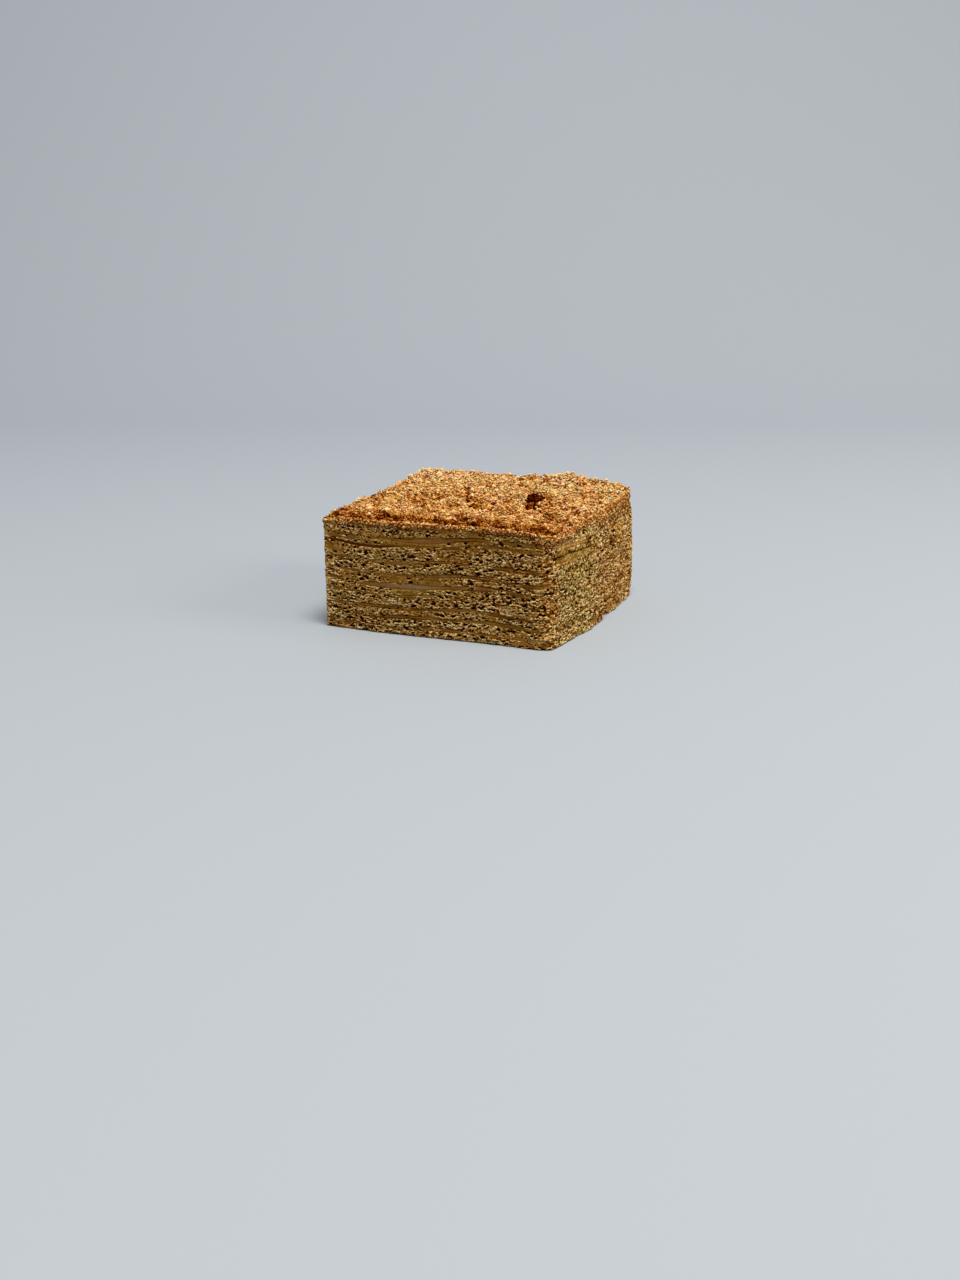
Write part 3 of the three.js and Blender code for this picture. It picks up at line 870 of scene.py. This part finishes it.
def crumb_hang(spot):
    """How far below the coat's top the crumbs hang over each place of the rim."""
    x, y, out_x, out_y = spot.T
    on_front = np.maximum(-out_y, 0) * (0.1 + 0.4 * (1 - ease(x, -16, 2)))
    on_right = np.maximum(out_x, 0) * 1.6
    elsewhere = np.maximum(np.maximum(out_y, 0), np.maximum(-out_x, 0)) * 1.0
    hang = np.maximum(np.maximum(on_front, on_right), elsewhere)
    run = np.column_stack([x, y, np.zeros_like(x)])
    ragged = 0.9 * soft_noise(run, 5.5, 141) + 0.5 * soft_noise(run, 2.2, 142)
    return np.maximum(hang + ragged * (1 - 0.6 * np.maximum(-out_y, 0)), 0)


def hanging_lumps(places):
    """How far each place of the hanging edge stands out on a crumb, from 0 to 1."""
    return scattered_balls(places, HANGING_LUMP, (0.4, 0.8), 0.85, 149)


def bed_plan(rim):
    """The plan of the top face as a grid drawn in from its four edges."""
    across = np.arange(BED_COLUMNS + 1)
    up = np.arange(BED_ROWS + 1)
    front, right = rim[across], rim[BED_COLUMNS + up]
    rear = rim[2 * BED_COLUMNS + BED_ROWS - across]
    left = rim[(2 * BED_COLUMNS + 2 * BED_ROWS - up) % len(rim)]
    u = (across / BED_COLUMNS)[None, :, None]
    v = (up / BED_ROWS)[:, None, None]
    plan = (1 - v) * front[None] + v * rear[None] + (1 - u) * left[:, None] + u * right[:, None]
    plan = plan - (1 - u) * (1 - v) * front[0] - u * (1 - v) * front[-1]
    return plan - (1 - u) * v * rear[0] - u * v * rear[-1]


coat_height = level_height(2 * LAYERS, bed_at[:, 0], bed_at[:, 1])
drawn_in = edge_inset(bed_at[:, 0], bed_at[:, 1])
rim = on_cut(bed_at, -RIM_INSET - drawn_in, topping_height(bed_at[:, 0], bed_at[:, 1]))
plan = bed_plan(rim[:, :2]).reshape(-1, 2)
bed_top = np.column_stack([plan, bed_surface(plan[:, 0], plan[:, 1])])
grid = np.arange(len(plan)).reshape(BED_ROWS + 1, BED_COLUMNS + 1)
rim_ring = np.concatenate([grid[0, :-1], grid[:-1, -1], grid[-1, :0:-1], grid[:0:-1, 0]])

walls = [on_cut(bed_at, -1.5, coat_height)]
hang_height = coat_height - crumb_hang(bed_at)
for row in range(WALL_ROWS - 1):
    share = row / (WALL_ROWS - 1)
    height = hang_height + (bed_top[rim_ring, 2] - hang_height) * share
    flat = on_cut(bed_at, 0, height)
    out = -RIM_INSET - drawn_in + 0.4 * math.sin(math.pi * (0.1 + 0.7 * share)) + 0.5 * hanging_lumps(flat)
    walls.append(on_cut(bed_at, out, height))
count = len(bed_at)
here = np.arange(WALL_ROWS * count).reshape(WALL_ROWS, count)
above = np.vstack([here[1:], WALL_ROWS * count + rim_ring])
beside, above_beside = np.roll(here, -1, axis=1), np.roll(above, -1, axis=1)
wall_faces = np.concatenate(
    [
        np.stack([here.ravel(), beside.ravel(), above_beside.ravel()]).T,
        np.stack([here.ravel(), above_beside.ravel(), above.ravel()]).T,
    ]
)
near_left, near_right = grid[:-1, :-1].ravel(), grid[:-1, 1:].ravel()
far_left, far_right = grid[1:, :-1].ravel(), grid[1:, 1:].ravel()
top_faces = WALL_ROWS * count + np.concatenate(
    [np.stack([near_left, near_right, far_right]).T, np.stack([near_left, far_right, far_left]).T]
)
base_middle = [[0, 0, coat_height.mean()]]
bed_places = np.concatenate([*walls, bed_top, base_middle])
base_faces = close_ring(0, count, len(bed_places) - 1, False)

# Toasted honey crumbs: dry and matt, from pale gold on thin edges to brown, with painted shade in deep brown
# in the gaps between them and under each crumb.
SPECK_SIZE = 0.7
SPECK_DEPTH = 0.2
PATCH_SIZE = 7
toasted_crumb, shader = new_material("toasted_honey_crumb")
where = add_node(toasted_crumb, "ShaderNodeTexCoord", {})
tint = add_node(toasted_crumb, "ShaderNodeAttribute", {}, attribute_name="tint")
painted_gap_shade = add_node(toasted_crumb, "ShaderNodeAttribute", {}, attribute_name="painted_gap_shade")
speck = add_node(
    toasted_crumb,
    "ShaderNodeTexNoise",
    {
        "Vector": where.outputs["Object"],
        "Scale": 1 / (SPECK_SIZE * MM),
        "Detail": 2.0,
        "Roughness": 0.6,
        "Distortion": 1.0,
    },
)
speckled = add_node(
    toasted_crumb, "ShaderNodeMath", {0: speck.outputs["Fac"], 1: 2.6, 2: -0.98}, operation="MULTIPLY_ADD"
)
blend = add_node(
    toasted_crumb,
    "ShaderNodeMath",
    {0: tint.outputs["Fac"], 1: 0.75, 2: speckled.outputs[0]},
    operation="MULTIPLY_ADD",
)
toast = add_ramp(
    toasted_crumb,
    blend.outputs[0],
    (
        (0.0, "#360a00"),
        (0.2, "#8e4404"),
        (0.4, "#c4792a"),
        (0.6, "#e4a353"),
        (0.8, "#fdc67c"),
        (1.0, "#ffe1aa"),
    ),
)
patches = add_node(
    toasted_crumb,
    "ShaderNodeTexNoise",
    {"Vector": where.outputs["Object"], "Scale": 1 / (PATCH_SIZE * MM), "Detail": 2.0},
)
hue = add_ramp(toasted_crumb, patches.outputs["Fac"], ((0.35, "#fff0ec"), (0.65, "#f3f4d6")))
tinted = add_node(
    toasted_crumb,
    "ShaderNodeMix",
    {"Factor": 1.0, "A": toast, "B": hue},
    data_type="RGBA",
    blend_type="MULTIPLY",
)
# Painted shade: the gaps between crumbs and their undersides are mixed towards deep brown.
shaded = add_node(
    toasted_crumb,
    "ShaderNodeMix",
    {"Factor": painted_gap_shade.outputs["Fac"], "A": tinted.outputs["Result"], "B": srgb("#4c1100")},
    data_type="RGBA",
)
toasted_crumb.node_tree.links.new(shaded.outputs["Result"], shader.inputs["Base Color"])
bump = add_node(
    toasted_crumb,
    "ShaderNodeBump",
    {"Height": speck.outputs["Fac"], "Distance": SPECK_DEPTH * MM, "Strength": 0.8},
)
toasted_crumb.node_tree.links.new(bump.outputs["Normal"], shader.inputs["Normal"])
shader.inputs["Roughness"].default_value = 1.0
shader.inputs["Specular IOR Level"].default_value = 0.0

bed_faces = np.concatenate([wall_faces, top_faces, base_faces])
crumb_bed = mesh_object("crumb_bed", to_frame(bed_places), bed_faces, True, toasted_crumb)
wall_places = np.concatenate(walls)
wall_tint = 0.45 + 0.5 * soft_noise(wall_places, 1.2, 163)
# Painted shade on the hanging edge except on its lumps, and in the low places between packed crumbs.
wall_painted_shade = np.clip(0.9 - 1.6 * hanging_lumps(wall_places), 0, 1)
top_painted_shade = 1 - 0.85 * ease(read_raster(crumb_stand, plan[:, 0], plan[:, 1]), 0.28, 0.75)
# The top's tint carries its painted light.
top_tint = read_raster(crumb_tint, plan[:, 0], plan[:, 1]) + painted_light_on_top(plan[:, 0], plan[:, 1])
paint(crumb_bed, "tint", np.concatenate([wall_tint, top_tint, [0.5]]))
paint(crumb_bed, "painted_gap_shade", np.concatenate([wall_painted_shade, top_painted_shade, [1]]))
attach(crumb_bed, "root")
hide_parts("crumb_topping")


# ======================================================================================================
# Loose crumbs
# The coarser crumbs lie on the bed, each a broken angular lump of its own size. They are densest on top and
# spill over the rim onto the cut sides, most of all at the corners and on the right side. A few are burnt.
# ======================================================================================================
RIM_STEPS = (2000, 1960, 2000, 1960)


def ball_of_triangles(fineness):
    """Places and triangles of a ball split into even triangles."""
    mesh = bpy.data.meshes.new("ball")
    ball = bmesh.new()
    bmesh.ops.create_icosphere(ball, subdivisions=fineness, radius=1)
    ball.to_mesh(mesh)
    ball.free()
    places = np.array([vertex.co for vertex in mesh.vertices])
    faces = np.array([face.vertices for face in mesh.polygons])
    bpy.data.meshes.remove(mesh)
    return places, faces


def broken_lumps(name, fineness, scattered, seed):
    """Many broken lumps as one mesh. Each has its own turn, proportions and chipped corners."""
    centres, radii, tints = scattered
    draw = np.random.default_rng(seed)
    shape, faces = ball_of_triangles(fineness)
    count = len(centres)
    chipped = 1 + 0.35 * draw.uniform(-1, 1, (count, len(shape)))
    stretch = draw.uniform(0.55, 1.25, (count, 1, 3))
    body = shape[None] * chipped[..., None] * stretch
    spin = draw.normal(size=(count, 4))
    w, x, y, z = (spin / np.linalg.norm(spin, axis=1, keepdims=True)).T
    turn = np.stack(
        [
            np.stack([1 - 2 * (y * y + z * z), 2 * (x * y - z * w), 2 * (x * z + y * w)], -1),
            np.stack([2 * (x * y + z * w), 1 - 2 * (x * x + z * z), 2 * (y * z - x * w)], -1),
            np.stack([2 * (x * z - y * w), 2 * (y * z + x * w), 1 - 2 * (x * x + y * y)], -1),
        ],
        1,
    )
    body = np.einsum("nij,nvj->nvi", turn, body) * radii[:, None, None]
    places = (body + centres[:, None]).reshape(-1, 3)
    all_faces = (faces[None] + (np.arange(count) * len(shape))[:, None, None]).reshape(-1, 3)
    made = mesh_object(name, to_frame(places), all_faces, False, toasted_crumb)
    paint(made, "tint", np.repeat(tints, len(shape)))
    # Painted shade on the lower half of each crumb.
    paint(made, "painted_gap_shade", np.clip(0.45 - 1.5 * body[..., 2] / radii[:, None], 0, 1).ravel())
    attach(made, "root")


def crumb_radii(draw, count, radii):
    """Sizes between the two radii, with more small crumbs than large ones."""
    return radii[0] + (radii[1] - radii[0]) * draw.uniform(0, 1, count) ** 1.6


def scatter_on_top(count, radii, lift, seed):
    """Even but irregular places over the top: one a cell of a jittered grid, with its size and tint."""
    draw = np.random.default_rng(seed)
    columns = round(math.sqrt(count * FRONT_LENGTH / SIDE_DEPTH))
    rows = round(count / columns)
    i, j = np.meshgrid(np.arange(columns), np.arange(rows), indexing="ij")
    x = (i.ravel() + draw.uniform(-0.2, 1.2, i.size)) / columns * (FRONT_LENGTH + RIGHT_SPREAD) - HALF_FRONT
    y = (j.ravel() + draw.uniform(-0.2, 1.2, i.size)) / rows * SIDE_DEPTH - HALF_SIDE
    radius = crumb_radii(draw, len(x), radii)
    round_off = CORNER_RADII[1]
    into_x = np.maximum(x - HALF_FRONT + round_off, 0)
    into_y = np.maximum(-y - HALF_SIDE + round_off, 0)
    past_corner = (np.hypot(into_x, into_y) > round_off) & (y < round_off - HALF_SIDE)
    kept = (edge_gap(x, y) > 0.4 * radius) & ~past_corner
    x, y, radius = x[kept], y[kept], radius[kept]
    # The tints carry the painted light of the top.
    tints = 0.1 + 0.65 * draw.uniform(0, 1, len(x)) + crumb_patches(x, y, 0.35, 0.8) + painted_light_on_top(x, y)
    lift = lift + draw.uniform(-0.3, 0.4, len(x))
    return np.column_stack([x, y, bed_surface(x, y) + radius * lift]), radius, tints


def scatter_on_rim(count, radii, below, seed):
    """Places down the cut sides from the rim to a little below the hanging edge of the bed."""
    draw = np.random.default_rng(seed)
    spots = cut_outline(RIM_STEPS)
    spot = spots[draw.integers(0, len(spots), count)]
    radius = crumb_radii(draw, count, radii)
    coat = level_height(2 * LAYERS, spot[:, 0], spot[:, 1])
    corner = 4 * (spot[:, 2] * spot[:, 3]) ** 2 * (spot[:, 2] > 0) * (spot[:, 3] < 0)
    reach = crumb_hang(spot) + below * (1.1 + 0.5 * np.maximum(spot[:, 2], 0) + 2 * corner)
    top = TOPPING_THICKNESS - 0.9 - corner_drop(spot[:, 0], spot[:, 1])
    height = coat + top - (top + reach) * draw.uniform(0, 1, count) ** 1.3
    inset = edge_inset(spot[:, 0], spot[:, 1]) * ease(height, coat - 1, coat + 1)
    out = radius * draw.uniform(-0.1, 0.6, count) - inset
    return on_cut(spot, out, height), radius, draw.uniform(-0.1, 0.8, count)


broken_lumps("coarse_crumbs", 2, scatter_on_top(260, (0.8, 1.2), lift=0.3, seed=11), 12)
broken_lumps("medium_crumbs", 1, scatter_on_top(3000, (0.45, 0.8), lift=0.4, seed=13), 14)
broken_lumps("fine_crumbs", 1, scatter_on_top(8600, (0.25, 0.48), lift=0.6, seed=15), 16)
broken_lumps("rim_crumbs", 1, scatter_on_rim(1500, (0.42, 0.75), below=0.3, seed=21), 22)
broken_lumps("rim_fine_crumbs", 1, scatter_on_rim(4500, (0.24, 0.46), below=1.0, seed=23), 24)

# Crumbs from the burnt edge of a layer lie in clumps: the middle of each, its reach, how many crumbs, and
# how burnt they are.
BURNT_CLUMPS = (
    (22.4, 7.5, 3.2, 44, 1.0),
    (25.6, -5.5, 1.9, 16, 1.0),
    (3.6, -16.0, 1.8, 9, 0.65),
    (39.5, -20.2, 1.1, 3, 0.6),
    (48.2, -17.9, 1.1, 3, 0.6),
    (18.0, 36.0, 1.2, 3, 0.4),
    (12.8, 2.6, 1.9, 6, 0.35),
    (-20.7, -14.1, 1.5, 4, 0.35),
    (-16.9, -2.4, 1.0, 2, 0.5),
    (-11.7, 12.3, 1.2, 3, 0.3),
    (-4.6, 26.9, 1.0, 2, 0.4),
    (6.7, 30.2, 1.4, 3, 0.4),
)
draw = np.random.default_rng(33)
burnt_spots = [
    (x + reach * draw.uniform(-1, 1), y + 1.3 * reach * draw.uniform(-1, 1), draw.uniform(0.7, 1.3), burnt)
    for x, y, reach, many, burnt in BURNT_CLUMPS
    for _ in range(many)
]
burnt_x, burnt_y, burnt_radius, how_burnt = np.array(burnt_spots).T
burnt_lift = burnt_radius * draw.uniform(0.5 * how_burnt, 0.5 + 1.2 * how_burnt)
burnt_places = np.column_stack([burnt_x, burnt_y, bed_surface(burnt_x, burnt_y) + burnt_lift])
burnt_tints = 0.25 - how_burnt * draw.uniform(0.5, 1.35, len(burnt_spots))
broken_lumps("burnt_crumbs", 2, (burnt_places, burnt_radius, burnt_tints), 31)
